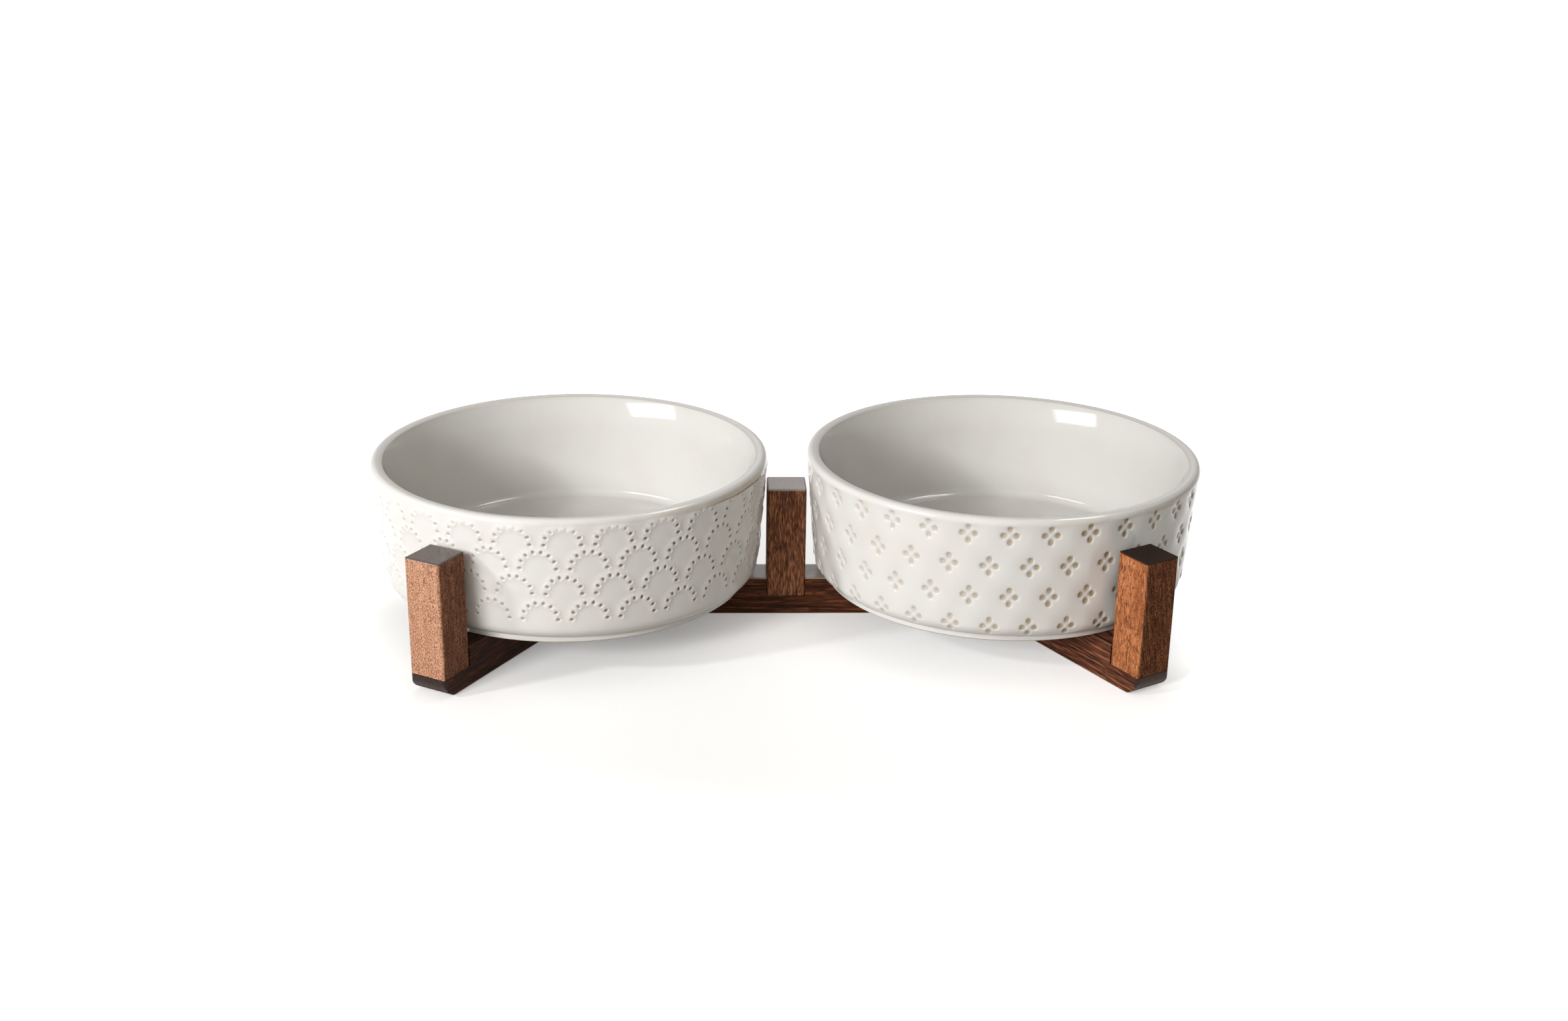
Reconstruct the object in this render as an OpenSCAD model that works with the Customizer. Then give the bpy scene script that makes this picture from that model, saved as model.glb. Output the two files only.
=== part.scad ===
// Raised feeder for dogs: two round glazed bowls in a low stand of square wooden bars and posts.
// Each bowl stands on a hub of three bars that meet at 120 degrees, between three upright posts.
// The origin is on the floor under the middle of the stand. +X runs from bowl to bowl, +Z is up.

/* [Bowls] */
// Outer diameter of a bowl at its rim
bowl_d = 160; // [140:1:180]
// Height of a bowl from its foot to its rim
bowl_h = 53; // [46:1:65]
// Lean of the bowl's wall from upright, in degrees
bowl_lean = 4.5; // [2:0.5:7]
// Thickness of the bowl's wall
bowl_wall = 5.2; // [4:0.2:7]
// Thickness of the bowl's floor
bowl_floor = 6.5; // [5:0.5:9]
// Radius of the round between the wall and the floor inside the bowl
inner_round = 5.5; // [3:0.5:8]
// Radius of the round under the outside of the wall
outer_round = 6; // [4:0.5:8]
// Height of the foot ring under the bowl
foot_h = 2.5; // [1.5:0.5:4]
// Width of the foot ring, from its inside to its outside
foot_w = 6; // [4:0.5:10]
// Step from the end of the outer round in to the foot ring
foot_step = 0.6; // [0.2:0.1:2]

/* [Stand] */
// Width of the bars, and of the posts both ways
bar_w = 16; // [12:0.5:20]
// Height of the bars
bar_h = 16; // [12:0.5:22]
// Height of the wood left under a post where it is let into its bar
lap_h = 8; // [5:0.5:10]
// Height of the tops of the posts above the floor
post_top = 55; // [40:1:62]
// Clearance between a bowl and the centre post, at the height of the post's top
center_gap = 1; // [0.5:0.1:3]
// Clearance between a bowl and its two arm posts, at the height of their tops
arm_gap = 3; // [0.5:0.1:5]
// Radius of the round under the outer end of each arm
arm_end_round = 8; // [3:0.5:10]
// Radius of the eased long edges of the bars
bar_edge = 0.8; // [0.3:0.1:1.5]
// Radius of the eased upright edges of the posts
post_edge = 1.5; // [0.5:0.1:3]
// Radius of the eased edges around the top of each post
post_top_edge = 0.8; // [0.3:0.1:2]
// Radius of the eased edges around the foot of each post, which show as a fine joint line
post_foot_edge = 0.4; // [0.2:0.1:0.8]

/* [Fasteners] */
// Diameter of the shank of the screws that hold the posts
screw_d = 4; // [3:0.5:5]
// Diameter of the countersunk screw head
screw_head_d = 7.6; // [6:0.2:9]
// Length of the screw from the face of its head to its tip
screw_len = 30; // [20:1:36]
// Distance of an arm's screw from the middle of its post towards the hub
arm_screw_inset = 3; // [1:0.5:4]
// Depth of the screw's face above the underside of the bar
screw_sink = 0.5; // [0.2:0.1:1]
// Depth of the cross recess in the screw's head
drive_depth = 1.2; // [0.8:0.1:1.6]
// Width of each slot of the cross recess
drive_slot = 1; // [0.6:0.1:1.2]
// Diameter of the dowels across the mitres of the hubs
dowel_d = 3; // [2:0.5:4]
// Wood left between the ends of two dowels in one bar
dowel_web = 1; // [0.5:0.1:2]
// Clearance around the shank of a screw or dowel
shank_gap = 0.05; // [0.02:0.01:0.2]
// Room left in a hole past the end of its screw or dowel
end_gap = 0.5; // [0.2:0.1:0.8]

/* [Hidden] */
$fn = 96;
// Small allowance so that cuts pass through the faces that they open
over = 1;
// Bars meet at the hubs at this angle, and each end is cut to half of it on both sides
hub_angle = 120;
mitre_angle = hub_angle / 2;

// Bowl profile: each point is [radius, height], with the bowl's foot at height 0
wall_out = [cos(bowl_lean), -sin(bowl_lean)];
rim_r = bowl_wall / 2;
rim_c = [bowl_d / 2 - rim_r, bowl_h - rim_r];
rim_outer = rim_c + rim_r * wall_out;
rim_inner = rim_c - rim_r * wall_out;
floor_z = foot_h + bowl_floor;
// Centre of a round of radius r that touches a wall line through p and has its centre at height z
function round_center(p, r, z) =
    [p[0] - ((p[1] - z) * sin(bowl_lean) + r) / cos(bowl_lean), z];
outer_c = round_center(rim_outer, outer_round, foot_h + outer_round);
inner_c = round_center(rim_inner, inner_round, floor_z + inner_round);
foot_r = outer_c[0] - foot_step;
// Outer radius of the wall at height z above the bowl's foot
function wall_radius(z) = rim_outer[0] - (rim_outer[1] - z) * tan(bowl_lean);
bowl_r_at_post = wall_radius(post_top - bar_h);

// Plan of the stand
hub_x = bowl_r_at_post + center_gap + bar_w / 2;
post_r = bowl_r_at_post + arm_gap + bar_w / 2;
arm_len = post_r + bar_w / 2;
// Distance from a hub's centre along a bar to where its mitres reach the bar's sides
mitre_run = bar_w / 2 / tan(mitre_angle);
mitre_face = bar_w / 2 / sin(mitre_angle);
end_round = min(arm_end_round, lap_h);
arm_screw_r = post_r - arm_screw_inset;

// Screws: all heights are above the floor
screw_head_h = (screw_head_d - screw_d) / 2;
screw_tip_h = screw_d;
drive_len = screw_d - drive_slot;

// Dowels: half of each dowel is in either bar, and its end stops short of the next dowel
dowel_r = dowel_d / 2;
dowel_half = ((mitre_face / 2 - dowel_r) * sin(mitre_angle) - dowel_web / 2) / cos(mitre_angle);
dowel_z = bar_h / 2;

wood_color = "saddlebrown";
wood_dark = "sienna";
glaze_color = "ivory";
steel_color = "silver";

// Plain shapes

// Rectangle w wide, centred on X, from 0 to h along Y, with all four corners eased to radius r
module eased_rect(w, h, r) {
    translate([-w / 2, r]) square([w, h - 2 * r]);
    translate([-w / 2 + r, 0]) square([w - 2 * r, h]);
    for (x = [r - w / 2, w / 2 - r], y = [r, h - r]) translate([x, y]) circle(r);
}

// The same rectangle with only its two far corners eased
module eased_top(w, h, r) {
    translate([-w / 2, 0]) square([w, h - r]);
    translate([-w / 2 + r, 0]) square([w - 2 * r, h]);
    for (x = [r - w / 2, w / 2 - r]) translate([x, h - r]) circle(r);
}

// Half of a bowl's section, to be turned about the Z axis
module bowl_section() {
    difference() {
        union() {
            polygon([[0, foot_h], [outer_c[0], foot_h], outer_c, outer_c + outer_round * wall_out,
                rim_outer, rim_inner, [0, rim_inner[1]]]);
            translate(outer_c) circle(outer_round);
        }
        polygon([[0, floor_z], [inner_c[0], floor_z], inner_c, inner_c + inner_round * wall_out,
            rim_inner, [rim_inner[0], bowl_h + over], [0, bowl_h + over]]);
        translate(inner_c) circle(inner_round);
    }
    translate(rim_c) circle(rim_r);
    translate([foot_r - foot_w, 0]) square([foot_w, foot_h]);
}

module bowl() {
    translate([0, 0, bar_h]) rotate_extrude() bowl_section();
}

// Screw and the hole that it is driven into, upright with the screw's face at its set depth
module screw_shape(gap, tip_gap) {
    translate([0, 0, screw_sink])
        cylinder(h = screw_head_h + gap, r1 = screw_head_d / 2 + gap, r2 = screw_d / 2);
    translate([0, 0, screw_sink]) cylinder(h = screw_len - screw_tip_h + tip_gap, r = screw_d / 2 + gap);
    translate([0, 0, screw_sink + screw_len - screw_tip_h + tip_gap])
        cylinder(h = screw_tip_h, r1 = screw_d / 2 + gap, r2 = 0);
}

module screw_hole() {
    screw_shape(shank_gap, end_gap);
    translate([0, 0, -over]) cylinder(h = screw_sink + over, r = screw_head_d / 2 + shank_gap);
}

module post_screw() {
    difference() {
        screw_shape(0, 0);
        for (turn = [0, 90])
            rotate(turn) translate([0, 0, screw_sink + drive_depth / 2 - over / 2])
                cube([drive_len, drive_slot, drive_depth + over], center = true);
    }
}

// One dowel, or its hole, across the mitre on the side of a bar at the origin that runs along +X
module dowel_shape(side, gap, tip_gap) {
    half = dowel_half + tip_gap;
    rotate(side * mitre_angle) translate([mitre_face / 2, half, dowel_z])
        rotate([90, 0, 0]) cylinder(h = 2 * half, r = dowel_r + gap);
}

module dowel_holes() {
    for (side = [-1, 1]) dowel_shape(side, shank_gap, end_gap);
}

// Stock with the bars' eased section, from x = start on for len along X
module bar_stock(start, len) {
    translate([start, 0, 0]) rotate([90, 0, 90]) linear_extrude(len) eased_rect(bar_w, bar_h, bar_edge);
}

// Plan of an arm along +X, pointed at its hub at the origin and eased at its outer corners
module arm_plan() {
    intersection() {
        polygon([[0, 0], [mitre_run, -bar_w / 2], [arm_len, -bar_w / 2],
            [arm_len, bar_w / 2], [mitre_run, bar_w / 2]]);
        rotate(-90) eased_top(bar_w, arm_len, post_edge);
    }
}

// Side view of an arm with the round under its outer end and the notch for its post
module arm_side() {
    difference() {
        union() {
            square([arm_len - end_round, bar_h]);
            translate([0, end_round]) square([arm_len, bar_h - end_round]);
            translate([arm_len - end_round, end_round]) circle(end_round);
        }
        translate([post_r - bar_w / 2, lap_h]) square([bar_w + over, bar_h]);
    }
}

module arm() {
    difference() {
        intersection() {
            linear_extrude(bar_h) arm_plan();
            translate([0, bar_w / 2, 0]) rotate([90, 0, 0]) linear_extrude(bar_w) arm_side();
            bar_stock(0, arm_len);
        }
        translate([arm_screw_r, 0, 0]) screw_hole();
        dowel_holes();
    }
}

// Front view of a post with its eased top and foot, as deep as the post is wide
module post_front(h) {
    translate([0, bar_w / 2, 0]) rotate([90, 0, 0]) linear_extrude(bar_w) intersection() {
        eased_top(bar_w, h, post_top_edge);
        eased_rect(bar_w, h + over, post_foot_edge);
    }
}

// Post with its foot on the lap and its axis on Z, and its screw at screw_x from that axis
module post(screw_x) {
    post_h = post_top - lap_h;
    difference() {
        translate([0, 0, lap_h]) intersection() {
            linear_extrude(post_h) translate([0, -bar_w / 2]) eased_rect(bar_w, bar_w, post_edge);
            post_front(post_h);
            rotate(90) post_front(post_h);
        }
        translate([screw_x, 0, 0]) screw_hole();
    }
}

// Places: side is -1 for the left bowl and 1 for the right, depth is -1 for the front and 1 for the back
module at_bowl(side) {
    translate([side * hub_x, 0, 0]) children();
}

module at_arm(side, depth) {
    at_bowl(side) rotate(side > 0 ? depth * mitre_angle : 180 - depth * mitre_angle) children();
}

module at_arm_post(side, depth) {
    at_arm(side, depth) translate([post_r, 0, 0]) children();
}

// Sub-parts

module left_bowl() { color(glaze_color) at_bowl(-1) bowl(); }
module right_bowl() { color(glaze_color) at_bowl(1) bowl(); }

// Plan of the centre bar, pointed at both hubs
module center_bar_plan() {
    side_x = hub_x - mitre_run;
    polygon([[-hub_x, 0], [-side_x, -bar_w / 2], [side_x, -bar_w / 2],
        [hub_x, 0], [side_x, bar_w / 2], [-side_x, bar_w / 2]]);
}

module center_bar() {
    color(wood_dark) difference() {
        intersection() {
            linear_extrude(bar_h) center_bar_plan();
            bar_stock(-hub_x, 2 * hub_x);
        }
        translate([-bar_w / 2, -bar_w / 2 - over, lap_h]) cube([bar_w, bar_w + 2 * over, bar_h]);
        screw_hole();
        at_bowl(-1) dowel_holes();
        at_bowl(1) rotate(180) dowel_holes();
    }
}

module front_left_arm() { color(wood_dark) at_arm(-1, -1) arm(); }
module back_left_arm() { color(wood_dark) at_arm(-1, 1) arm(); }
module front_right_arm() { color(wood_dark) at_arm(1, -1) arm(); }
module back_right_arm() { color(wood_dark) at_arm(1, 1) arm(); }

module center_post() { color(wood_color) post(0); }
module front_left_post() { color(wood_color) at_arm_post(-1, -1) post(-arm_screw_inset); }
module back_left_post() { color(wood_color) at_arm_post(-1, 1) post(-arm_screw_inset); }
module front_right_post() { color(wood_color) at_arm_post(1, -1) post(-arm_screw_inset); }
module back_right_post() { color(wood_color) at_arm_post(1, 1) post(-arm_screw_inset); }

module post_screws() {
    color(steel_color) {
        post_screw();
        for (side = [-1, 1], depth = [-1, 1])
            at_arm(side, depth) translate([arm_screw_r, 0, 0]) post_screw();
    }
}

// The three dowels of a hub, across the mitres that face away from each bar
module hub_dowels() {
    for (turn = [0, hub_angle, 2 * hub_angle]) rotate(turn) dowel_shape(1, 0, 0);
}

module left_hub_dowels() { color(wood_color) at_bowl(-1) hub_dowels(); }
module right_hub_dowels() { color(wood_color) at_bowl(1) rotate(180) hub_dowels(); }

left_bowl();
right_bowl();
center_bar();
front_left_arm();
back_left_arm();
front_right_arm();
back_right_arm();
center_post();
front_left_post();
back_left_post();
front_right_post();
back_right_post();
post_screws();
left_hub_dowels();
right_hub_dowels();
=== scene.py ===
"""Dresses the dog feeder stand: glazed bowls, oiled walnut, steel screws, a pale studio and a camera."""
import math

import bmesh
import bpy
import numpy as np
from mathutils import Matrix, Vector


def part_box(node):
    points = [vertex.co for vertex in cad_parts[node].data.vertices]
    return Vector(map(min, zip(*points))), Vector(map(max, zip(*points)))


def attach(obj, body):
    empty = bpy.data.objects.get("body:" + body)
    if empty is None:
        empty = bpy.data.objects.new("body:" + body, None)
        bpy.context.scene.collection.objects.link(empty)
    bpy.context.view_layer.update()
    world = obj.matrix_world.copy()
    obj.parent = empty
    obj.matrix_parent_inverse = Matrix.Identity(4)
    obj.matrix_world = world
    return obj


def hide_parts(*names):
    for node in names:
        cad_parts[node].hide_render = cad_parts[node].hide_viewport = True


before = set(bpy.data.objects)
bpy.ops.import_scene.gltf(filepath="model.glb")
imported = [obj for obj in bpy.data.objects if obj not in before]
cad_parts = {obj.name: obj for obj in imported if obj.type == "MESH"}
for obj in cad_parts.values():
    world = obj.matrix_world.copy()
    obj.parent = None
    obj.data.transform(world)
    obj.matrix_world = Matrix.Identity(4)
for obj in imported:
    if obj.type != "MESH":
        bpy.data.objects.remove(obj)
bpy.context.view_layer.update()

MM = 0.001

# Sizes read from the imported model
BOWL_LOW, BOWL_HIGH = (Vector(corner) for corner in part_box("right_bowl"))
HUB_X = (BOWL_LOW.x + BOWL_HIGH.x) / 2
FOOT_Z = BOWL_LOW.z
RIM_Z = BOWL_HIGH.z
BOWL_H = RIM_Z - FOOT_Z
RIM_R = (BOWL_HIGH.y - BOWL_LOW.y) / 2
BAR_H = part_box("center_bar")[1][2]
POST_LOW, POST_HIGH = (Vector(corner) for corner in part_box("center_post"))
POST_TOP = POST_HIGH.z
STOCK_W = POST_HIGH.x - POST_LOW.x

# Bowl section, in metres: radius from the bowl's axis and height above its foot
WALL_LEAN = math.radians(4.5)
RIM_ROUND = 2.2 * MM
RIM_SLOPE = math.radians(12)
RIM_FLAT = 2.1 * MM
RIM_EDGE = 0.4 * MM
RIM_FLARE = 36 * MM
FLARE_LEAN = math.radians(29)
OUTER_ROUND = 6 * MM
INNER_ROUND = 3.6 * MM
FOOT_H = 2.5 * MM
FOOT_W = 6 * MM
FOOT_STEP = 0.8 * MM
FOOT_GROOVE = 0.7 * MM
FOOT_EDGE = 0.5 * MM
BOWL_FLOOR = 9 * MM
WALL_OUT = Vector((math.cos(WALL_LEAN), 0, -math.sin(WALL_LEAN)))
CREST = Vector((RIM_R - RIM_ROUND, 0, BOWL_H - RIM_ROUND))
WALL_TOP = CREST + RIM_ROUND * WALL_OUT
OUTER_Z = FOOT_H + OUTER_ROUND
OUTER_X = WALL_TOP.x - (WALL_TOP.z - OUTER_Z) * math.tan(WALL_LEAN) - OUTER_ROUND / math.cos(WALL_LEAN)
WALL_FOOT = Vector((OUTER_X, 0, OUTER_Z)) + OUTER_ROUND * WALL_OUT

# Fish-scale pattern of the left bowl
SCALE_COLUMNS = 26
SCALE_ROWS = (58.9 * MM, 49.1 * MM, 38.7 * MM, 27.9 * MM)
SCALE_PHASE = math.radians(-90 + 1.8)
SCALE_R = 7.0 * MM
SCALE_DOTS = 8
DOT_LONG = 1.1 * MM
DOT_SHORT = 0.85 * MM
DOT_DEPTH = 0.55 * MM
DOT_LIP = 0.12 * MM
ARCH_LIFT = 0.3 * MM
ARCH_W = 1.7 * MM
CROWN_FADE = 4.6 * MM

# Four-petal pattern of the right bowl
PETAL_COLUMNS = 32
PETAL_ROWS = (62.3 * MM, 49.3 * MM, 36.5 * MM, 23.7 * MM)
PETAL_PHASE = math.radians(-90 - 5.6)
PETAL_DRIFT = math.radians(0.4)
PETAL_R = 2.5 * MM
PETAL_TALL = 1.13
PETAL_TIP = 1.4 * MM
PETAL_TAIL = 2.6 * MM
PETAL_HALF_W = 1.35 * MM
PETAL_DEPTH = 0.55 * MM
TUFT_DEPTH = 0.5 * MM
TUFT_R = 4.8 * MM

# Colours, in linear light
GLAZE_WHITE = (0.79, 0.778, 0.75, 1)
GLAZE_CREAM = (0.755, 0.73, 0.685, 1)
GLAZE_TAN = (0.50, 0.39, 0.28, 1)
# Brown line under the rim's round: a glaze break, darkened as painted shade under the rim
LIP_BREAK_AND_SHADE = (0.24, 0.15, 0.08, 1)
# Pooled glaze in the dots and in the petals; with the pattern's share rising to the right they also paint shade
DOT_TAN = (0.16, 0.10, 0.043, 1)
PETAL_BEIGE = (0.31, 0.215, 0.095, 1)
# Grey that darkens the inside of each bowl, as painted shade
INSIDE_SHADE = (0.90, 0.902, 0.90, 1)
BARE_CLAY = (0.52, 0.42, 0.31, 1)
POOL_SHARE = 0.95

# Camera, set as the photograph was taken
PHOTO_SIZE = (2380, 1550)
FOCAL_PX = 2898
CAMERA_AIM = Vector((-0.874 * MM, 0, 42.9 * MM))
CAMERA_DISTANCE = 787.9 * MM
CAMERA_TILT = math.radians(20.6)
CAMERA_YAW = math.radians(2.28)
CAMERA_ROLL = math.radians(0.80)


class Value:
    """One node socket that can be used in Python arithmetic."""

    def __init__(self, finish, socket):
        self.finish = finish
        self.socket = socket

    def math(self, operation, *terms):
        return self.finish.add("ShaderNodeMath", {"operation": operation}, dict(enumerate(terms)))

    def __add__(self, other):
        return self.math("ADD", self, other)

    def __radd__(self, other):
        return self.math("ADD", other, self)

    def __sub__(self, other):
        return self.math("SUBTRACT", self, other)

    def __rsub__(self, other):
        return self.math("SUBTRACT", other, self)

    def __mul__(self, other):
        return self.math("MULTIPLY", self, other)

    def __rmul__(self, other):
        return self.math("MULTIPLY", other, self)

    def __truediv__(self, other):
        return self.math("DIVIDE", self, other)

    def __pow__(self, other):
        return self.math("POWER", self, other)

    def __abs__(self):
        return self.math("ABSOLUTE", self)


class Finish:
    """A node tree that is filled node by node: a material's, or the world's."""

    def __init__(self, owner):
        owner.use_nodes = True
        self.owner = owner
        self.tree = owner.node_tree
        self.tree.nodes.clear()

    def add(self, kind, settings=None, inputs=None, output=0):
        node = self.tree.nodes.new(kind)
        for name, value in (settings or {}).items():
            if name == "stops":
                ramp = node.color_ramp
                while len(ramp.elements) < len(value):
                    ramp.elements.new(0.5)
                for element, (place, color) in zip(ramp.elements, value):
                    element.position = place
                    element.color = color
            else:
                setattr(node, name, value)
        for name, value in (inputs or {}).items():
            if isinstance(value, Value):
                self.tree.links.new(value.socket, node.inputs[name])
            else:
                node.inputs[name].default_value = value
        return Value(self, node.outputs[output])

    def coords(self):
        return self.add("ShaderNodeTexCoord", output="Object")

    def mapped(self, vector, scale=(1, 1, 1), place=(0, 0, 0), turn=(0, 0, 0), kind="POINT"):
        inputs = {"Vector": vector, "Location": place, "Rotation": turn, "Scale": scale}
        return self.add("ShaderNodeMapping", {"vector_type": kind}, inputs)

    def axes(self, vector):
        split = self.add("ShaderNodeSeparateXYZ", inputs={0: vector}).socket.node
        return [Value(self, socket) for socket in split.outputs]

    def noise(self, vector, scale=1.0, detail=2.0, rough=0.5, warp=0.0):
        inputs = {"Vector": vector, "Scale": scale, "Detail": detail, "Roughness": rough, "Distortion": warp}
        return self.add("ShaderNodeTexNoise", inputs=inputs)

    def step(self, value, start, end, low=0.0, high=1.0):
        inputs = {"Value": value, "From Min": start, "From Max": end, "To Min": low, "To Max": high}
        return self.add("ShaderNodeMapRange", {"interpolation_type": "SMOOTHSTEP"}, inputs)

    def mix(self, share, first, second, blend="MIX"):
        settings = {"data_type": "RGBA", "blend_type": blend}
        return self.add("ShaderNodeMix", settings, {0: share, 6: first, 7: second}, output=2)

    def bump(self, height, strength, distance, under=None):
        inputs = {"Strength": strength, "Distance": distance, "Height": height}
        if under is not None:
            inputs["Normal"] = under
        return self.add("ShaderNodeBump", inputs=inputs)

    def surface(self, **sockets):
        inputs = {name.replace("_", " "): value for name, value in sockets.items()}
        self.show(self.add("ShaderNodeBsdfPrincipled", inputs=inputs), "ShaderNodeOutputMaterial")

    def show(self, shader, kind):
        node = self.tree.nodes.new(kind)
        self.tree.links.new(shader.socket, node.inputs["Surface"])


def new_finish(name):
    return Finish(bpy.data.materials.new(name))


def glaze_finish(name, hub, pool_and_shade_color):
    """White glaze that pools in the pattern, breaks to tan on the rim's edges and stops above the bare foot;
    painted shade darkens its inside and, towards the bowl's right side, its pooling and rim edges.
    """
    f = new_finish(name)
    place = f.mapped(f.coords(), place=(hub, 0, FOOT_Z), kind="TEXTURE")
    x, y, z = f.axes(place)
    radius = (x * x + y * y) ** 0.5
    facing = x / radius
    below_rim = BOWL_H - z
    cloud = f.noise(place, 38, 3, 0.55)
    grain = f.noise(place, 420, 2, 0.6)
    worn = f.step(f.noise(place, 24, 4, 0.6), 0.36, 0.62)
    pool = f.add("ShaderNodeAttribute", {"attribute_name": "pool"}, output="Fac")

    # Cloudy white, darker inside as painted shade, tan where the glaze thins over the rim's two edges, darker
    # where it lies thick, and on the right side more tan and pooling as painted shade
    color = f.mix(f.step(cloud, 0.40, 0.66, 0, 0.5), GLAZE_WHITE, GLAZE_CREAM)
    # Painted shade: the bowl's inside walls and floor are painted about a tenth darker
    wall = RIM_R - below_rim * math.tan(WALL_LEAN) - radius
    inside = f.step(wall, 3.2 * MM, 4.2 * MM) * f.step(z, 5 * MM, 7 * MM)
    color = f.mix(inside, color, INSIDE_SHADE, "MULTIPLY")
    rim_side = f.step(radius, RIM_R - 1.4 * MM, RIM_R - 0.7 * MM)
    # Tan where the glaze breaks over the rim's outer edge: the break is real, and its stronger tan towards the
    # bowl's right side is painted shade
    outer = f.step(below_rim, 3.2 * MM, 2.2 * MM) * f.step(below_rim, 0.5 * MM, 1.3 * MM)
    outer = outer * rim_side * f.step(facing, -0.3, 0.9, 0.08, 0.6)
    rim_in = RIM_R - RIM_ROUND - RIM_FLAT - RIM_EDGE
    inner = f.step(radius, rim_in + 1.1 * MM, rim_in + 0.3 * MM) * f.step(below_rim, 2.2 * MM, 0.9 * MM)
    color = f.mix((outer + inner * 0.12) * worn, color, GLAZE_TAN)
    # Brown line just under the rim's round, only on the bowl's right side: a glaze break with painted shade,
    # where shade falls under the rim away from the lamps
    lip_break_and_shade = f.step(below_rim, 3.7 * MM, 3.2 * MM) * f.step(below_rim, 2.5 * MM, 2.9 * MM)
    lip_break_and_shade = lip_break_and_shade * rim_side * f.step(facing, 0.45, 0.95, 0, 0.9)
    color = f.mix(lip_break_and_shade * worn, color, LIP_BREAK_AND_SHADE)
    # Glaze pooled in the pattern is its own colour; it is laid on more strongly towards the bowl's right side,
    # where it is painted shade
    pooled_and_shaded = f.step(pool, 0.05, 0.8) * POOL_SHARE * (0.65 + 0.6 * grain) * f.step(facing, -0.9, 0.6, 0.3, 1.0)
    color = f.mix(pooled_and_shaded, color, pool_and_shade_color)

    # The foot's underside is wiped bare before firing
    bare = f.step(z, 0.55 * MM, 0.25 * MM) * f.step(radius, 60 * MM, 62 * MM)
    color = f.mix(bare, color, BARE_CLAY)
    rough = 0.07 + 0.05 * cloud + 0.1 * pooled_and_shaded + 0.6 * bare
    waves = f.bump(f.noise(place, 95, 2, 0.5), 0.12, 0.35 * MM)
    skin = f.bump(grain, 0.12, 0.05 * MM, waves)
    f.surface(Base_Color=color, Roughness=rough, Normal=skin, IOR=1.5, Specular_IOR_Level=0.2, Coat_Weight=0.08,
              Coat_Roughness=0.04)
    return f.owner


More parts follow.
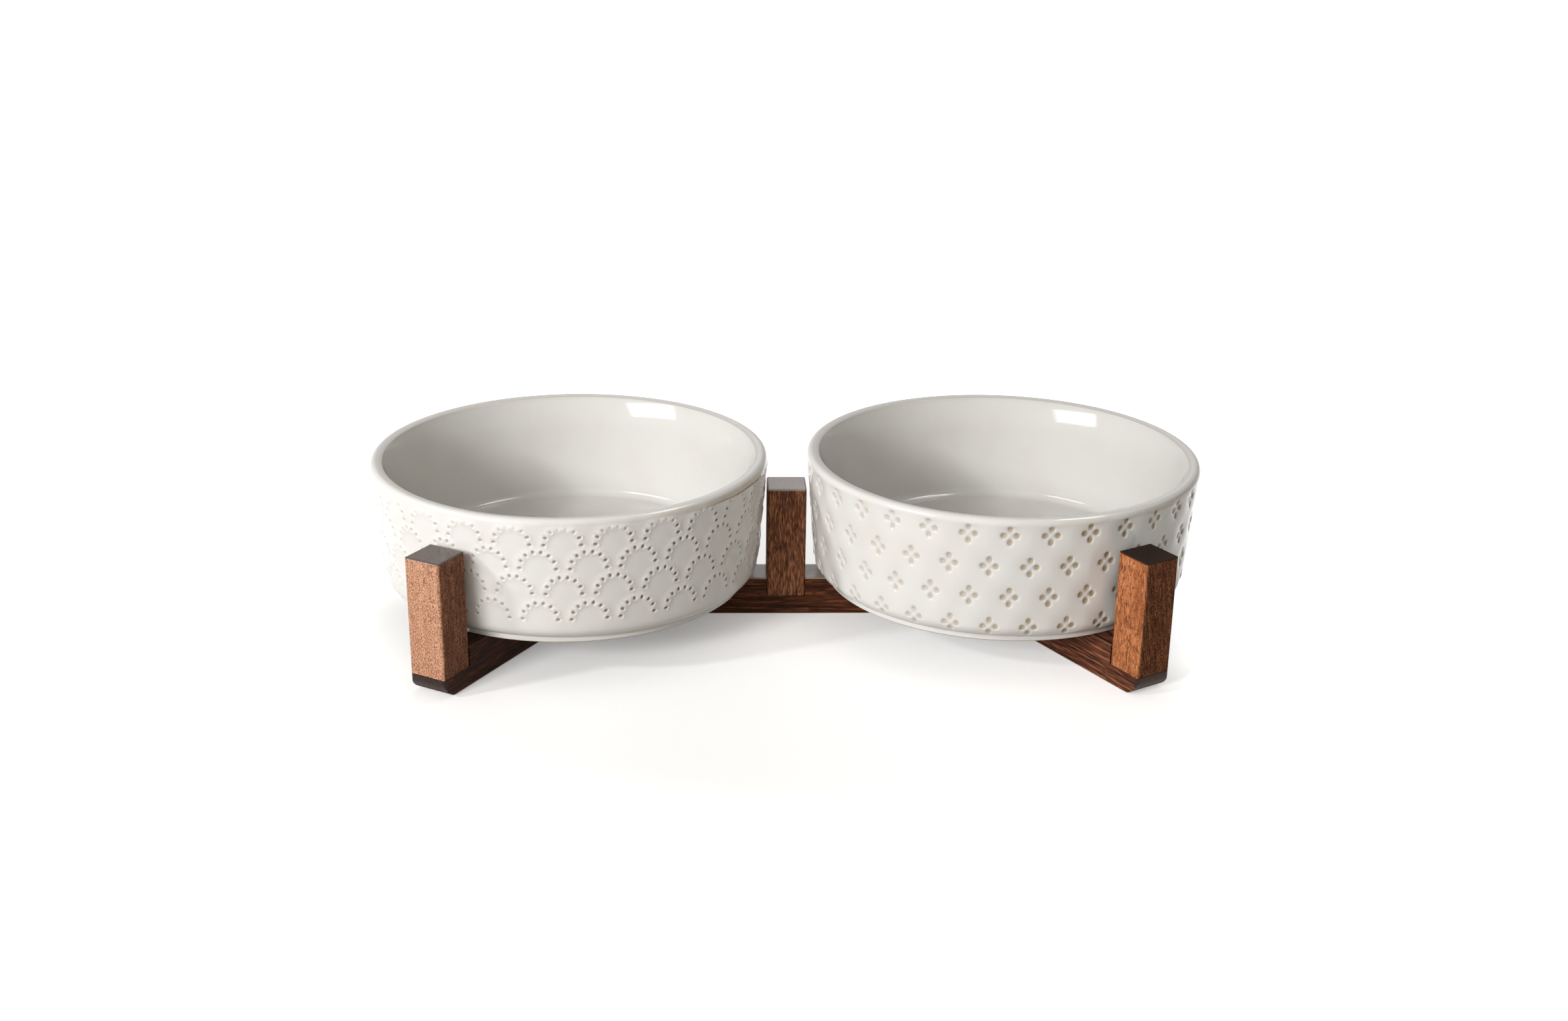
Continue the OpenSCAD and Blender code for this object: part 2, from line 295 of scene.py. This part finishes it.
def wood_finish(name, place, turn, tones, seed, weave, slant=0.0, face=None, tip=None, edge_wear_and_highlight=0.5, low_light=0.0,
                gloss=0.1, tip_span=None):
    """Oiled walnut. In the piece's own frame x runs along the grain, from the piece's middle.

    weave: scales of the fibres and of the dark veins, and where the three tones lie
    face: side, share, tones and their places, scale of the fine figure, its share, share of the veins; the side
    is the one turned to the lamps and is painted paler, as painted light
    tip: axis, start and end of the tinted end, its tint and share, and how much coat it adds
    """
    f = new_finish(name)
    own = f.mapped(f.coords(), place=place, turn=turn, kind="TEXTURE")
    along, across, depth = f.axes(own)
    shifted = f.mapped(own, place=(seed * 0.37, seed * 0.11, seed * 0.23), turn=(0, 0, slant))

    # Grain that wanders a little: broad bands, streaks, fibres and short open pores
    wander = f.noise(f.mapped(shifted, scale=(28, 70, 70)), 1, 2, 0.5)
    drift = f.add("ShaderNodeVectorMath", {"operation": "SCALE"},
                  {0: f.add("ShaderNodeCombineXYZ", inputs={1: wander, 2: wander}), "Scale": 4.5 * MM})
    bent = f.add("ShaderNodeVectorMath", {"operation": "ADD"}, {0: shifted, 1: drift})
    broad = f.noise(f.mapped(bent, scale=(9, 150, 150)), 1, 3, 0.55)
    streak = f.noise(f.mapped(bent, scale=(30, 620, 620)), 1, 4, 0.62)
    fibre_scale, vein_scale, stops = weave
    fibre = f.noise(f.mapped(bent, scale=fibre_scale), 1, 1, 0.6)
    pores = f.step(f.noise(f.mapped(bent, scale=(230, 1700, 1700)), 1, 1, 0.4), 0.58, 0.66)
    vein = f.noise(f.mapped(bent, scale=vein_scale), 1, 2, 0.55)
    strokes = f.step(abs(vein - 0.5), 0.07, 0.01) * f.step(streak, 0.36, 0.52, 0.2, 1.0)
    figure = 0.14 * broad + 0.26 * streak + 0.6 * fibre
    if low_light:
        figure = figure + f.step(along, 8 * MM, -20 * MM, 0, low_light)
    color = f.add("ShaderNodeValToRGB", {"stops": tuple(zip(stops, tones))}, {"Fac": figure})
    color = f.mix(pores * 0.45, color, PORE_DARK)
    color = f.mix(strokes * 0.6, color, tones[0])
    relief = streak * 0.4 + fibre * 0.6 - pores * 0.9 - strokes * 0.5

    # One face, the one turned to the lamps, painted paler as painted light, with its own finer figure and a few
    # thin checks
    if face is not None:
        side, share, lit_face_tones, face_stops, figure_scale, fine, lines = face
        on_lit_face = f.step((across, depth)[side] + 0.5 * MM * (broad - 0.5), 1.0 * MM - STOCK_W / 2,
                         0.3 * MM - STOCK_W / 2) * share
        speckle = f.noise(f.mapped(bent, scale=figure_scale), 1, 1, 0.6)
        checks = f.step(abs(f.noise(f.mapped(shifted, scale=(45, 120, 120)), 1, 2, 0.5) - 0.5), 0.010, 0.002)
        checks = checks * f.step(f.noise(shifted, 70, 1, 0.5), 0.52, 0.6)
        face_figure = (1 - fine) * (0.4 * broad + 0.6 * streak) + fine * speckle
        lit_face_color = f.add("ShaderNodeValToRGB", {"stops": tuple(zip(face_stops, lit_face_tones))},
                           {"Fac": face_figure})
        lit_face_color = f.mix(checks * 0.7 + strokes * lines, lit_face_color, lit_face_tones[0])
        color = f.mix(on_lit_face, color, lit_face_color)
        relief = relief + on_lit_face * (speckle - checks)

    # Long edges paled by wear and by a painted highlight, and a tinted end: end grain that takes more oil, and
    # on the centre post's and the centre bar's tops a painted grey sheen
    half = STOCK_W / 2
    edge = f.step(abs(across), half - 0.6 * MM, half - 0.3 * MM)
    edge = edge * f.step(abs(depth), half - 0.6 * MM, half - 0.3 * MM)
    color = f.mix(edge * f.step(fibre, 0.36, 0.56, 0.4, 1.0) * edge_wear_and_highlight, color, EDGE_WEAR_AND_HIGHLIGHT)
    coat = 0.03 * streak
    rough = 0.50 + 0.14 * fibre + 0.12 * pores
    if tip is not None:
        way, start, end, tint, share, tip_coat = tip
        mask = f.step((along, across, depth)[way], start, end)
        if tip_span is not None:
            # On the centre bar the painted sheen fades out away from its middle
            mask = mask * f.step(abs(along) + 8 * MM * (streak - 0.5), tip_span[1], tip_span[0])
        color = f.mix(mask * share, color, tint)
        coat = coat + mask * tip_coat
        rough = rough - mask * 0.15
    skin = f.bump(relief, 0.45, 0.2 * MM)
    f.surface(Base_Color=color, Roughness=rough, Normal=skin, Coat_Weight=coat, Coat_Roughness=0.22, IOR=1.48,
              Specular_IOR_Level=gloss)
    return f.owner


def steel_finish():
    """Zinc plated steel with fine turning marks and dull patches."""
    f = new_finish("zinc_plated_steel")
    place = f.coords()
    cloud = f.noise(place, 300, 3, 0.6)
    marks = f.noise(f.mapped(place, scale=(400, 400, 6000)), 1, 2, 0.5)
    color = f.mix(cloud, (0.42, 0.42, 0.43, 1), (0.62, 0.61, 0.58, 1))
    skin = f.bump(marks, 0.2, 0.05 * MM)
    f.surface(Base_Color=color, Metallic=1.0, Roughness=0.28 + 0.22 * cloud, Normal=skin)
    return f.owner


def beech_finish():
    """Pale beech with short brown flecks, for the hidden dowels."""
    f = new_finish("plain_beech")
    place = f.coords()
    flecks = f.step(f.noise(f.mapped(place, scale=(900, 900, 2600)), 1, 1, 0.5), 0.6, 0.68)
    cloud = f.noise(place, 160, 3, 0.6)
    color = f.mix(cloud, (0.48, 0.33, 0.19, 1), (0.60, 0.44, 0.28, 1))
    color = f.mix(flecks * 0.5, color, (0.26, 0.14, 0.07, 1))
    f.surface(Base_Color=color, Roughness=0.55 + 0.2 * cloud, Normal=f.bump(cloud - flecks, 0.2, 0.1 * MM))
    return f.owner


# Bowls

def outer_wall(height):
    """Radius of the outer wall and its lean, at heights above the foot."""
    sink = np.clip((OUTER_Z - height) / OUTER_ROUND, math.sin(WALL_LEAN), 1)
    on_round = OUTER_X + OUTER_ROUND * np.sqrt(1 - sink ** 2)
    on_wall = WALL_TOP.x - (WALL_TOP.z - height) * math.tan(WALL_LEAN)
    return np.where(height < WALL_FOOT.z, on_round, on_wall), np.arcsin(sink)


def wrapped(turn, pitch):
    """Angles brought to within half a pitch of 0."""
    return (turn + pitch / 2) % pitch - pitch / 2


def oval(along, across, long, short):
    """Distance from the middle of an oval, as a share of its size."""
    return np.sqrt((along / long) ** 2 + (across / short) ** 2)


def pit(reach, power):
    """Share of full depth in a pit with soft edges; a high power gives it a flat floor."""
    return np.clip(1 - reach ** power, 0, 1) ** 1.5


def fish_scales(turn, height, widen=1.0):
    """Lift of the glaze and share of pooled glaze for rows of arches of dots."""
    pitch = 2 * math.pi / SCALE_COLUMNS
    lift = np.zeros_like(turn)
    pool = np.zeros_like(turn)
    for row, base in enumerate(SCALE_ROWS):
        side = wrapped(turn - SCALE_PHASE - (row % 2) * pitch / 2, pitch) * WALL_TOP.x
        up = height - (base - FOOT_Z)
        arch = np.exp(-((np.hypot(side, up) - SCALE_R) / ARCH_W) ** 2) / (1 + np.exp(-up / (0.7 * MM)))
        lift = np.maximum(lift, ARCH_LIFT * arch)
        for dot in range(SCALE_DOTS):
            bearing = math.pi * dot / (SCALE_DOTS - 1)
            out = side * math.cos(bearing) + up * math.sin(bearing) - SCALE_R
            across = up * math.cos(bearing) - side * math.sin(bearing)
            reach = oval(out, across, widen * DOT_LONG, widen * DOT_SHORT)
            lift = lift + DOT_LIP * np.exp(-((reach - 1.2) / 0.35) ** 2)
            pool = np.maximum(pool, pit(reach, 2))
    fade = np.clip((WALL_TOP.z - height) / (0.9 * MM), 0, 1)
    bare = np.clip((WALL_TOP.z - height) / CROWN_FADE, 0.15, 1)
    return (lift - DOT_DEPTH * pool * bare) * fade, pool * bare * fade


def four_petals(turn, height, widen=1.0):
    """Lift of the glaze and share of pooled glaze for staggered rows of four-petal flowers."""
    pitch = 2 * math.pi / PETAL_COLUMNS
    lift = np.zeros_like(turn)
    pool = np.zeros_like(turn)
    for row, middle in enumerate(PETAL_ROWS):
        side = wrapped(turn - PETAL_PHASE - row * PETAL_DRIFT - (row % 2) * pitch / 2, pitch) * WALL_TOP.x
        up = (height - (middle - FOOT_Z)) / PETAL_TALL
        reach = np.hypot(side, up)
        lift = lift - TUFT_DEPTH * np.exp(-(reach / TUFT_R) ** 2)
        for along, across in ((side, up), (-side, up), (up, side), (-up, side)):
            past = along - PETAL_R
            spread = oval(past, across, widen * np.where(past > 0, PETAL_TIP, PETAL_TAIL), widen * PETAL_HALF_W)
            slope = np.clip((past + PETAL_TAIL) / (PETAL_TAIL + 0.2 * MM), 0, 1)
            pool = np.maximum(pool, pit(spread, 4) * slope)
    top = np.clip((WALL_TOP.z - height) / (1.4 * MM), 0, 1)
    low = np.clip((height - FOOT_H - 0.6 * MM) / (2 * MM), 0, 1)
    return (lift - PETAL_DEPTH * pool) * top * low, pool * top * low


def bend(bm, tip, center, degrees, steps):
    """Turns the section's last point about center and leaves an arc behind it."""
    made = bmesh.ops.spin(bm, geom=[tip], cent=center, axis=(0, 1, 0), angle=math.radians(degrees), steps=steps)
    return made["geom_last"][0]


def run_to(bm, tip, radius, height, cuts=0):
    """Draws the section straight on to a point, cut into equal lengths."""
    length = (Vector((radius, 0, height)) - tip.co) / (cuts + 1)
    made = bmesh.ops.spin(bm, geom=[tip], cent=(0, 0, 0), axis=(0, 1, 0), dvec=length, angle=0, steps=cuts + 1)
    return made["geom_last"][0]


def bowl_section(bm, band_rows):
    """Half section of a bowl, from the middle of its underside round to the middle of its inside floor."""
    lean = math.degrees(WALL_LEAN)
    flare = math.degrees(FLARE_LEAN)
    slope = math.degrees(RIM_SLOPE)
    foot_out = OUTER_X + FOOT_STEP
    foot_in = foot_out - FOOT_W
    tip = bm.verts.new((0, 0, FOOT_H))
    tip = run_to(bm, tip, foot_in - FOOT_EDGE, FOOT_H, 10)
    tip = bend(bm, tip, (foot_in - FOOT_EDGE, 0, FOOT_H - FOOT_EDGE), 90, 4)
    tip = run_to(bm, tip, foot_in, FOOT_EDGE)
    tip = bend(bm, tip, (foot_in + FOOT_EDGE, 0, FOOT_EDGE), -90, 4)
    tip = run_to(bm, tip, foot_out - FOOT_EDGE, 0, 2)
    tip = bend(bm, tip, (foot_out - FOOT_EDGE, 0, FOOT_EDGE), -90, 4)
    tip = run_to(bm, tip, foot_out, FOOT_H - FOOT_EDGE)
    tip = bend(bm, tip, (foot_out - FOOT_EDGE, 0, FOOT_H - FOOT_EDGE), -80, 4)
    tip = run_to(bm, tip, OUTER_X - FOOT_GROOVE, FOOT_H)
    tip = run_to(bm, tip, OUTER_X, FOOT_H + 0.02 * MM)
    tip = bend(bm, tip, (OUTER_X, 0, OUTER_Z), lean - 90, 8)
    tip = run_to(bm, tip, WALL_TOP.x, WALL_TOP.z, band_rows - 1)
    tip = bend(bm, tip, CREST, -90 - lean - slope, 10)
    flat_end = tip.co - RIM_FLAT * Vector((math.cos(RIM_SLOPE), 0, math.sin(RIM_SLOPE)))
    tip = run_to(bm, tip, flat_end.x, flat_end.z, 2)
    edge_c = tip.co - RIM_EDGE * Vector((-math.sin(RIM_SLOPE), 0, math.cos(RIM_SLOPE)))
    tip = bend(bm, tip, edge_c, flare + slope - 90, 6)
    flare_c = tip.co + RIM_FLARE * Vector((math.cos(FLARE_LEAN), 0, -math.sin(FLARE_LEAN)))
    tip = bend(bm, tip, flare_c, lean - flare, 10)
    inner_z = BOWL_FLOOR + INNER_ROUND
    inner_x = tip.co.x - (tip.co.z - inner_z) * math.tan(WALL_LEAN) - INNER_ROUND / math.cos(WALL_LEAN)
    wall_end = Vector((inner_x, 0, inner_z)) + INNER_ROUND * WALL_OUT
    tip = run_to(bm, tip, wall_end.x, wall_end.z, 5)
    tip = bend(bm, tip, (inner_x, 0, inner_z), 90 - lean, 10)
    run_to(bm, tip, 0, BOWL_FLOOR, 8)


def make_bowl(name, hub, pattern, segments, band_low, band_rows, cuts, fine_cuts, fine_reach, finish):
    """Turns a bowl's section, refines its patterned band and presses the pattern into it."""
    bm = bmesh.new()
    layer = bm.verts.layers.float.new("pool")
    bowl_section(bm, band_rows)
    bmesh.ops.spin(bm, geom=bm.verts[:] + bm.edges[:], cent=(0, 0, 0), axis=(0, 0, 1), angle=2 * math.pi,
                   steps=segments, use_merge=True)
    bmesh.ops.remove_doubles(bm, verts=bm.verts[:], dist=0.001 * MM)
    bmesh.ops.recalc_face_normals(bm, faces=bm.faces[:])

    def band_points():
        """Points of the outer wall between the band's low edge and the rim."""
        spots = np.array([vert.co for vert in bm.verts])
        radius = outer_wall(spots[:, 2])[0]
        outside = np.hypot(spots[:, 0], spots[:, 1]) > radius - 1.0 * MM
        inside = (spots[:, 2] > band_low) & (spots[:, 2] < WALL_TOP.z + 0.01 * MM)
        return [vert for vert, picked in zip(bm.verts, outside & inside) if picked]

    band = set(band_points())
    edges = [edge for edge in bm.edges if band.issuperset(edge.verts)]
    bmesh.ops.subdivide_edges(bm, edges=edges, cuts=cuts, use_grid_fill=True)
    band = set(band_points())
    faces = [face for face in bm.faces if band.issuperset(face.verts)]
    spots = np.array([face.calc_center_median() for face in faces])
    close = pattern(np.arctan2(spots[:, 1], spots[:, 0]), spots[:, 2], fine_reach)[1] > 0
    edges = dict.fromkeys(edge for face, picked in zip(faces, close) if picked for edge in face.edges)
    bmesh.ops.subdivide_edges(bm, edges=list(edges), cuts=fine_cuts, use_grid_fill=True)

    # Every point of the band goes back on the round wall, and then the pattern moves it in or out
    band = band_points()
    spots = np.array([vert.co for vert in band])
    turn = np.arctan2(spots[:, 1], spots[:, 0])
    radius, lean = outer_wall(spots[:, 2])
    lift, pool = pattern(turn, spots[:, 2])
    radius = radius + lift * np.cos(lean)
    moved = np.stack([radius * np.cos(turn), radius * np.sin(turn), spots[:, 2] - lift * np.sin(lean)], 1)
    for vert, place, share in zip(band, moved, pool):
        vert.co = place
        vert[layer] = share
    bmesh.ops.translate(bm, verts=bm.verts[:], vec=(hub, 0, FOOT_Z))
    return finish_piece(bm, name, finish)


def finish_piece(bm, name, finish):
    """Makes a smooth-shaded object from a bmesh."""
    mesh = bpy.data.meshes.new(name)
    bm.to_mesh(mesh)
    bm.free()
    mesh.shade_smooth()
    mesh.materials.append(finish)
    piece = bpy.data.objects.new(name, mesh)
    bpy.context.scene.collection.objects.link(piece)
    return piece


left_bowl = make_bowl("glazed_left_bowl", -HUB_X, fish_scales, 260, WALL_FOOT.z + 1 * MM, 22, 1, 2, 1.45,
                      glaze_finish("fish_scale_glaze", -HUB_X, DOT_TAN))
right_bowl = make_bowl("glazed_right_bowl", HUB_X, four_petals, 192, FOOT_H + 0.4 * MM, 17, 2, 1, 1.35,
                       glaze_finish("petal_glaze", HUB_X, PETAL_BEIGE))
for bowl, side in ((left_bowl, "left"), (right_bowl, "right")):
    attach(bowl, side + "_bowl")
    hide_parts(side + "_bowl")

# Wood, with the grain along every piece
BAR_TONES = ((0.018, 0.0065, 0.003, 1), (0.082, 0.027, 0.012, 1), (0.215, 0.077, 0.034, 1))
# Left arms painted darker as painted shade, right arms paler as painted light
LEFT_ARM_SHADED_TONES = ((0.009, 0.0035, 0.002, 1), (0.045, 0.015, 0.008, 1), (0.13, 0.046, 0.022, 1))
RIGHT_ARM_LIT_TONES = ((0.018, 0.006, 0.003, 1), (0.105, 0.033, 0.016, 1), (0.36, 0.13, 0.065, 1))
CENTER_POST_TONES = ((0.052, 0.019, 0.009, 1), (0.185, 0.072, 0.035, 1), (0.42, 0.18, 0.09, 1))
LEFT_POST_TONES = ((0.062, 0.023, 0.011, 1), (0.22, 0.087, 0.043, 1), (0.47, 0.205, 0.105, 1))
RIGHT_POST_TONES = ((0.040, 0.014, 0.006, 1), (0.155, 0.058, 0.027, 1), (0.37, 0.155, 0.075, 1))
# Tones of each side post's face turned to the lamps, painted paler as painted light
LIT_FACE_PALE_TONES = ((0.22, 0.088, 0.047, 1), (0.48, 0.245, 0.150, 1), (0.70, 0.40, 0.26, 1))
LIT_FACE_RED_TONES = ((0.18, 0.052, 0.020, 1), (0.47, 0.163, 0.063, 1), (0.73, 0.31, 0.14, 1))
# Pale arris colour: wear, with a painted highlight along the edge
EDGE_WEAR_AND_HIGHLIGHT = (0.50, 0.27, 0.15, 1)
END_DARK = (0.020, 0.011, 0.008, 1)
# Pale grey tints for the centre post's top and the centre bar's top: a painted sheen
TOP_SHEEN_GREY = (0.36, 0.295, 0.265, 1)
TOP_SHEEN_PALE = (0.40, 0.32, 0.29, 1)
PORE_DARK = (0.009, 0.004, 0.002, 1)
UPRIGHT = -math.pi / 2
ARM_TURN = math.pi / 3

# Scales of the fibres and of the dark veins along and across the grain, and where the three tones lie
BAR_WEAVE = ((55, 1500, 1500), (20, 650, 650), (0.36, 0.50, 0.64))
POST_WEAVE = ((1200, 3000, 3000), (50, 800, 800), (0.36, 0.49, 0.63))
CENTER_WEAVE = ((300, 2000, 2000), (75, 750, 750), (0.36, 0.49, 0.63))


def dress(node, finish):
    """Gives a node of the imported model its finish."""
    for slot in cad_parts[node].material_slots:
        slot.material = finish


def middle(node):
    low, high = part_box(node)
    return tuple((a + b) / 2 for a, b in zip(low, high))


half_stock = STOCK_W / 2
# The centre bar's top gets a painted grey sheen between the bowls
bar_top_sheen = (2, BAR_H / 2 - 0.5 * MM, BAR_H / 2 - 0.1 * MM, TOP_SHEEN_PALE, 0.75, 1.0)
arm_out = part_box("front_right_arm")[1][0] - HUB_X
arm_reach = (arm_out - half_stock * math.sin(ARM_TURN)) / math.cos(ARM_TURN)
arm_end = (0, arm_reach - 0.7 * MM, arm_reach - 0.2 * MM, END_DARK, 0.8, 0.2)
dress("center_bar", wood_finish("center_bar_walnut", (0, 0, BAR_H / 2), (0, 0, 0), BAR_TONES, 1, BAR_WEAVE,
                                tip=bar_top_sheen, tip_span=(20 * MM, 42 * MM)))
arms = {"front_left": (-120, 2), "back_left": (120, 3), "front_right": (-60, 4), "back_right": (60, 5)}
for corner, (bearing, seed) in arms.items():
    turn = math.radians(bearing)
    hub = HUB_X if "right" in corner else -HUB_X
    # Left arms get the shaded tones and right arms the lit tones: painted shade and painted light
    if "left" in corner:
        arm_tones = LEFT_ARM_SHADED_TONES
        slant = 0.0
        # The face turned to the lamps is painted paler, as painted light
        face = (1, 0.95, LIT_FACE_PALE_TONES, (0.37, 0.48, 0.59), (1800, 2100, 2100), 0.75, 0.12)
        post_tones = LEFT_POST_TONES
        post_gloss = 0.1
        top_coat = 0.8
        top_share = 0.8
    else:
        arm_tones = RIGHT_ARM_LIT_TONES
        slant = math.radians(10)
        face = (0, 0.92, LIT_FACE_RED_TONES, (0.34, 0.48, 0.62), (2000, 3200, 3200), 0.45, 0.9)
        post_tones = RIGHT_POST_TONES
        post_gloss = 0.02
        top_coat = 0.05
        top_share = 0.95
    dress(corner + "_arm", wood_finish(corner + "_arm_walnut", (hub, 0, BAR_H / 2), (0, 0, turn), arm_tones,
                                       seed, BAR_WEAVE, tip=arm_end, edge_wear_and_highlight=0.3))
    x, y, z = middle(corner + "_post")
    tip = (0, POST_TOP - z - 0.9 * MM, POST_TOP - z - 0.2 * MM, END_DARK, top_share, top_coat)
    dress(corner + "_post", wood_finish(corner + "_post_walnut", (x, y, z), (0, UPRIGHT, turn), post_tones,
                                        seed + 10, POST_WEAVE, slant, face, tip, edge_wear_and_highlight=0.75,
                                        gloss=post_gloss))
x, y, z = middle("center_post")
# The centre post's top gets a painted grey sheen
tip = (0, POST_TOP - z - 0.9 * MM, POST_TOP - z - 0.2 * MM, TOP_SHEEN_GREY, 0.85, 1.0)
dress("center_post", wood_finish("center_post_walnut", (x, y, z), (0, UPRIGHT, 0), CENTER_POST_TONES, 17,
                                 CENTER_WEAVE, tip=tip, edge_wear_and_highlight=0.25, low_light=0.06))
dress("post_screws", steel_finish())
beech = beech_finish()
dress("left_hub_dowels", beech)
dress("right_hub_dowels", beech)

# Studio: a pale floor, three lamps from the front left, two cards that only show in the gloss, and dim light
FLOOR_SIZE = 12.0
SKY_STRENGTH = 0.28
SKY_COLOR = (1.0, 0.93, 0.845, 1)
FLOOR_PAINT = (1.0, 1.0, 0.995, 1)
FLOOR_BOUNCE = (0.34, 0.32, 0.29, 1)


def floor_finish():
    """Pale matt floor that the camera sees as white and that keeps the shadows."""
    f = new_finish("pale_floor")
    x, y, z = f.axes(f.coords())
    reach = (x * x + y * y) ** 0.5

    # The floor glows more away from the stand, behind it and to its right, so that the near shadows stay
    glow = f.step(reach, 0.15, 0.24, 0.30, 0.80) + f.step(reach, 0.5, 2.0, 0, 0.14)
    glow = glow + f.step(y, -0.01, 0.05, 0, 0.4) + f.step(x, -0.06, 0.10, -0.09, 0.05)
    patch = f.step(x, 0.12, 0.17, 0, 0.45) * f.step(y, -0.10, -0.05)
    path = f.add("ShaderNodeLightPath").socket.node.outputs
    camera_ray = Value(f, path["Is Camera Ray"])
    seen = camera_ray + Value(f, path["Is Glossy Ray"]) + Value(f, path["Is Transmission Ray"])
    paint = f.mix(Value(f, path["Is Diffuse Ray"]), FLOOR_PAINT, FLOOR_BOUNCE)
    matt = f.add("ShaderNodeBsdfDiffuse", inputs={"Color": paint})
    white = f.add("ShaderNodeEmission", inputs={"Strength": glow * seen + patch * camera_ray})
    f.show(f.add("ShaderNodeAddShader", inputs={0: matt, 1: white}), "ShaderNodeOutputMaterial")
    return f.owner


bm = bmesh.new()
bmesh.ops.create_grid(bm, x_segments=8, y_segments=8, size=FLOOR_SIZE / 2)
floor = finish_piece(bm, "floor", floor_finish())

world = Finish(bpy.data.worlds.new("even_light"))
bpy.context.scene.world = world.owner
path = world.add("ShaderNodeLightPath").socket.node.outputs
seen = Value(world, path["Is Camera Ray"]) + Value(world, path["Is Glossy Ray"])
seen = seen + Value(world, path["Is Transmission Ray"])
strength = SKY_STRENGTH + (1 - SKY_STRENGTH) * seen
sky = world.mix(seen, SKY_COLOR, (1, 1, 1, 1))
world.show(world.add("ShaderNodeBackground", inputs={"Color": sky, "Strength": strength}),
           "ShaderNodeOutputWorld")


def add_lamp(name, bearing, height, distance, size, power, glossy=True, diffuse=True):
    """Rectangular lamp that faces the middle of the stand."""
    lamp = bpy.data.lights.new(name, "AREA")
    lamp.shape = "RECTANGLE"
    lamp.size, lamp.size_y = size
    lamp.energy = power
    holder = bpy.data.objects.new(name, lamp)
    out = Vector((math.cos(bearing) * math.cos(height), math.sin(bearing) * math.cos(height), math.sin(height)))
    holder.location = CAMERA_AIM + out * distance
    holder.rotation_euler = out.to_track_quat("Z", "Y").to_euler()
    holder.visible_glossy = glossy
    holder.visible_diffuse = diffuse
    bpy.context.scene.collection.objects.link(holder)


add_lamp("window_card", math.radians(212), math.radians(25), 1.25, (0.66, 0.42), 13.0, diffuse=False)
add_lamp("spot_lamp", math.radians(207), math.radians(27), 1.6, (0.12, 0.12), 6.4, glossy=False)
add_lamp("near_lamp", math.radians(231), math.radians(20), 1.5, (0.36, 0.3), 11.6, glossy=False)
add_lamp("front_lamp", math.radians(250), math.radians(26), 1.8, (1.8, 1.2), 7.6, glossy=False)
add_lamp("side_card", math.radians(0), math.radians(62), 1.3, (0.5, 0.35), 9.0, diffuse=False)

# Camera
forward = Vector((math.sin(CAMERA_YAW) * math.cos(CAMERA_TILT), math.cos(CAMERA_YAW) * math.cos(CAMERA_TILT),
                  -math.sin(CAMERA_TILT)))
level = Vector((math.cos(CAMERA_YAW), -math.sin(CAMERA_YAW), 0))
upward = level.cross(forward)
right = level * math.cos(CAMERA_ROLL) + upward * math.sin(CAMERA_ROLL)
top = upward * math.cos(CAMERA_ROLL) - level * math.sin(CAMERA_ROLL)
camera = bpy.data.objects.new("camera", bpy.data.cameras.new("camera"))
camera.data.sensor_width = 36
camera.data.lens = 36 * FOCAL_PX / PHOTO_SIZE[0]
camera.data.clip_start = 0.01
camera.matrix_world = Matrix.Translation(CAMERA_AIM - forward * CAMERA_DISTANCE) @ Matrix(
    (right, top, -forward)).transposed().to_4x4()
bpy.context.scene.collection.objects.link(camera)
bpy.context.scene.camera = camera
bpy.context.scene.view_settings.view_transform = "Standard"
